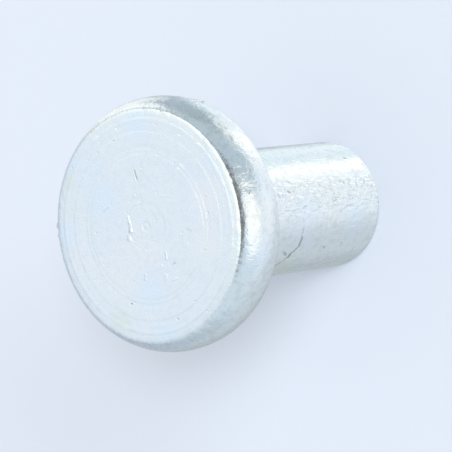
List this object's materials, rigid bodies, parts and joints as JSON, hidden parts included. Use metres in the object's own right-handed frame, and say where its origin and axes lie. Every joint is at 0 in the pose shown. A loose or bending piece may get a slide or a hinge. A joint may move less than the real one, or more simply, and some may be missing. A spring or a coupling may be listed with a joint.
{
  "type": "flat head rivet",
  "caption": "Solid rivet with a thick flat round head, a bulged rim and a plain straight shank with a rounded edge at its end.",
  "frame": {"origin": "middle of the flat end of the shank, where the standing rivet meets the surface", "axes": "+Z along the rivet's axis, from the end of the shank up to the face of the head; the rivet is round, so +X and +Y are free"},
  "size_m": [0.0152, 0.0152, 0.0188],
  "materials": {
    "zinc_plated_steel": "bright zinc plate, satin, with turning marks on the face and small dents"
  },
  "bodies": {
    "root": {"rivet": "zinc_plated_steel"}
  },
  "joints": []
}
